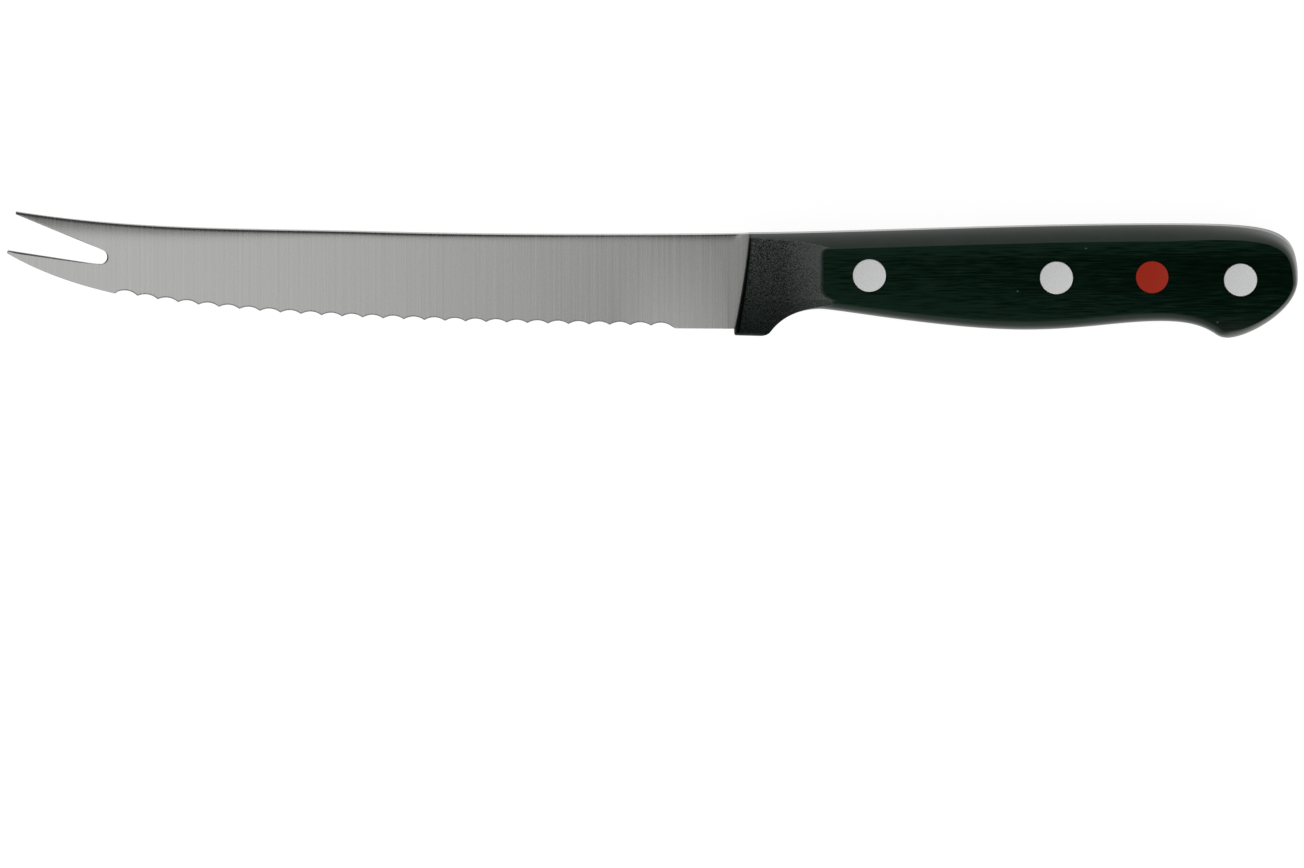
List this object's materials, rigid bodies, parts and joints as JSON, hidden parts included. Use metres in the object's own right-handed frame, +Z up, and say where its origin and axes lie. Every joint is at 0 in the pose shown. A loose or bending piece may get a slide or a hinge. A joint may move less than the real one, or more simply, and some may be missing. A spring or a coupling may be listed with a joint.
{
  "type": "tomato knife",
  "caption": "Serrated tomato knife with a forked tip, a full tang and dark riveted handle scales with a moulded bolster, lying on its side.",
  "frame": {"origin": "middle of the knife's bounding box, on the surface that it lies on", "axes": "+X from the forked tip to the butt; +Y from the edge to the spine; +Z up, out of the scale with the colour dot"},
  "size_m": [0.2454, 0.0242, 0.014],
  "materials": {
    "blade_steel": "satin, ground with fine lines across the blade",
    "handle_plastic": "near-black green; brushed flats, smooth bands and a finely grained bolster",
    "rivet_metal": "satin, ground flush with the scales",
    "dot_plastic": "satin, flush with the scale"
  },
  "bodies": {
    "root": {"blade_with_tang": "blade_steel", "near_scale": "handle_plastic", "far_scale": "handle_plastic", "front_rivet_sleeve": "rivet_metal", "front_rivet_pin": "rivet_metal", "middle_rivet_sleeve": "rivet_metal", "middle_rivet_pin": "rivet_metal", "rear_rivet_sleeve": "rivet_metal", "rear_rivet_pin": "rivet_metal", "colour_dot": "dot_plastic"}
  },
  "joints": []
}
